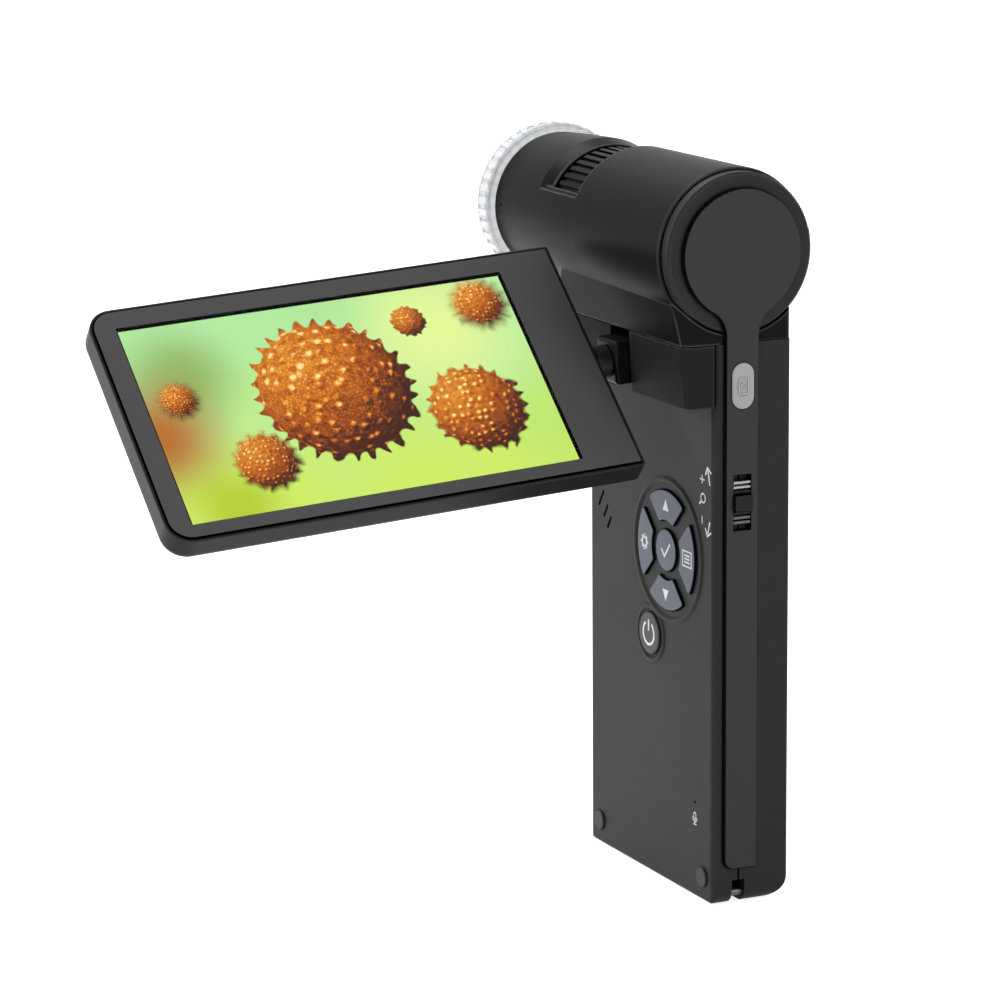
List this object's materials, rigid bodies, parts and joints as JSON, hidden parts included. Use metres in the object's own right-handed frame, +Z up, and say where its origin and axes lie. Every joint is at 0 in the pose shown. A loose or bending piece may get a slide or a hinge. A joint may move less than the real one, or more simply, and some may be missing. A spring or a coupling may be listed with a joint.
{
  "type": "handheld digital microscope",
  "caption": "Upright handheld microscope: flat handle with keys, barrel across its top with clear cap, and a screen that folds out and swivels.",
  "frame": {"origin": "centre of the handle's flat bottom face", "axes": "+Z up along the handle, the keys face -Y and the screen folds out that way, the barrel runs along X with its clear cap towards -X"},
  "size_m": [0.1206, 0.1856, 0.2031],
  "materials": {
    "casing_plastic": "fine satin moulded black plastic",
    "barrel_plastic": "soft satin black plastic",
    "strip_plastic": "smooth satin black plastic, a shade lighter",
    "screen_plastic": "satin black plastic",
    "bezel_plastic": "smooth satin black plastic",
    "knuckle_plastic": "satin black plastic",
    "inner_plastic": "plain black plastic",
    "wheel_plastic": "ribbed black plastic",
    "slider_plastic": "polished black plastic",
    "shutter_plastic": "satin light grey plastic",
    "key_rubber": "soft slate blue-grey rubber",
    "power_key_rubber": "soft dark grey rubber",
    "bumper_rubber": "soft dark grey rubber",
    "cap_plastic": "clear fluted acrylic",
    "lens_glass": "coated optical glass",
    "window_glass": "clear display pane",
    "display": "lit liquid crystal display",
    "diode_resin": "clear resin light diodes",
    "board_laminate": "green circuit board laminate",
    "battery_wrap": "grey foil wrap",
    "screw_steel": "dark steel",
    "shaft_steel": "dark steel",
    "socket_steel": "bright stamped steel",
    "insert_brass": "turned brass"
  },
  "bodies": {
    "handle": {"front_casing": "casing_plastic", "rear_casing": "casing_plastic", "casing_screws": "screw_steel", "tripod_insert": "insert_brass", "usb_socket": "socket_steel", "card_socket": "socket_steel", "left_bumper": "bumper_rubber", "right_bumper": "bumper_rubber", "strap_bar": "screw_steel", "head_housing": "barrel_plastic", "grub_screws": "screw_steel", "lens_tube": "inner_plastic", "front_glass": "lens_glass", "light_board": "board_laminate", "light_diodes": "diode_resin", "sensor_board": "board_laminate", "clear_cap": "cap_plastic", "end_plate": "inner_plastic", "side_strip": "strip_plastic", "shutter_switch": "inner_plastic", "zoom_switch": "inner_plastic", "side_board": "board_laminate", "key_board": "board_laminate", "main_board": "board_laminate", "battery": "battery_wrap", "speaker": "inner_plastic", "microphone": "socket_steel", "hinge_housing": "casing_plastic", "fold_pin": "screw_steel"},
    "focus_wheel": {"focus_wheel": "wheel_plastic"},
    "lens_carriage": {"lens_carriage": "inner_plastic", "objective_lens": "lens_glass"},
    "brightness_dial": {"brightness_dial": "barrel_plastic"},
    "shutter_button": {"shutter_button": "shutter_plastic"},
    "zoom_slider": {"zoom_slider": "slider_plastic"},
    "hinge_knuckle": {"hinge_knuckle": "knuckle_plastic"},
    "swivel_shaft": {"swivel_shaft": "shaft_steel"},
    "screen": {"screen_cover": "screen_plastic", "screen_bezel": "bezel_plastic", "screen_window": "window_glass", "display_module": "display", "screen_board": "board_laminate"},
    "up_key": {"up_key": "key_rubber"},
    "right_key": {"right_key": "key_rubber"},
    "down_key": {"down_key": "key_rubber"},
    "left_key": {"left_key": "key_rubber"},
    "ok_key": {"ok_key": "key_rubber"},
    "power_key": {"power_key": "power_key_rubber"}
  },
  "joints": [
    {"name": "screen_fold", "type": "hinge", "parent": "handle", "child": "hinge_knuckle", "pos_m": [0, -0.0185, 0.1474], "axis": [1, 0, 0], "range_deg": [-3.5, 86.5]},
    {"name": "swivel_levelling", "type": "hinge", "parent": "hinge_knuckle", "child": "swivel_shaft", "pos_m": [0, -0.0185, 0.1474], "axis": [0, 0.9981, 0.061], "range_deg": [-44.1, 1.9]},
    {"name": "screen_swivel", "type": "hinge", "parent": "swivel_shaft", "child": "screen", "pos_m": [0, -0.0185, 0.1474], "axis": [0, 0.9981, 0.061], "range_deg": [0, 180]},
    {"name": "focus_turn", "type": "hinge", "parent": "handle", "child": "focus_wheel", "pos_m": [0, -0.004, 0.1802], "axis": [1, 0, 0], "range_deg": [-150, 150]},
    {"name": "lens_feed", "type": "slide", "parent": "handle", "child": "lens_carriage", "axis": [1, 0, 0], "range_m": [-0.00451, 0.00451]},
    {"name": "dial_turn", "type": "hinge", "parent": "handle", "child": "brightness_dial", "pos_m": [0, -0.004, 0.1802], "axis": [1, 0, 0], "range_deg": [-50, 50]},
    {"name": "shutter_press", "type": "slide", "parent": "handle", "child": "shutter_button", "axis": [-1, 0, 0], "range_m": [0, 0.0008], "stiffness_N_per_m": 500},
    {"name": "zoom_slide", "type": "slide", "parent": "handle", "child": "zoom_slider", "axis": [0, 0, 1], "range_m": [-0.0015, 0.0015], "stiffness_N_per_m": 300},
    {"name": "up_press", "type": "slide", "parent": "handle", "child": "up_key", "axis": [0, 1, 0], "range_m": [0, 0.0006], "stiffness_N_per_m": 500},
    {"name": "right_press", "type": "slide", "parent": "handle", "child": "right_key", "axis": [0, 1, 0], "range_m": [0, 0.0006], "stiffness_N_per_m": 500},
    {"name": "down_press", "type": "slide", "parent": "handle", "child": "down_key", "axis": [0, 1, 0], "range_m": [0, 0.0006], "stiffness_N_per_m": 500},
    {"name": "left_press", "type": "slide", "parent": "handle", "child": "left_key", "axis": [0, 1, 0], "range_m": [0, 0.0006], "stiffness_N_per_m": 500},
    {"name": "ok_press", "type": "slide", "parent": "handle", "child": "ok_key", "axis": [0, 1, 0], "range_m": [0, 0.0006], "stiffness_N_per_m": 500},
    {"name": "power_press", "type": "slide", "parent": "handle", "child": "power_key", "axis": [0, 1, 0], "range_m": [0, 0.0006], "stiffness_N_per_m": 500}
  ],
  "couplings": [
    {"joint": "lens_feed", "follows": "focus_turn", "m_per_rad": 0.0017189},
    {"joint": "swivel_levelling", "follows": "screen_fold", "ratio": -0.50867}
  ]
}
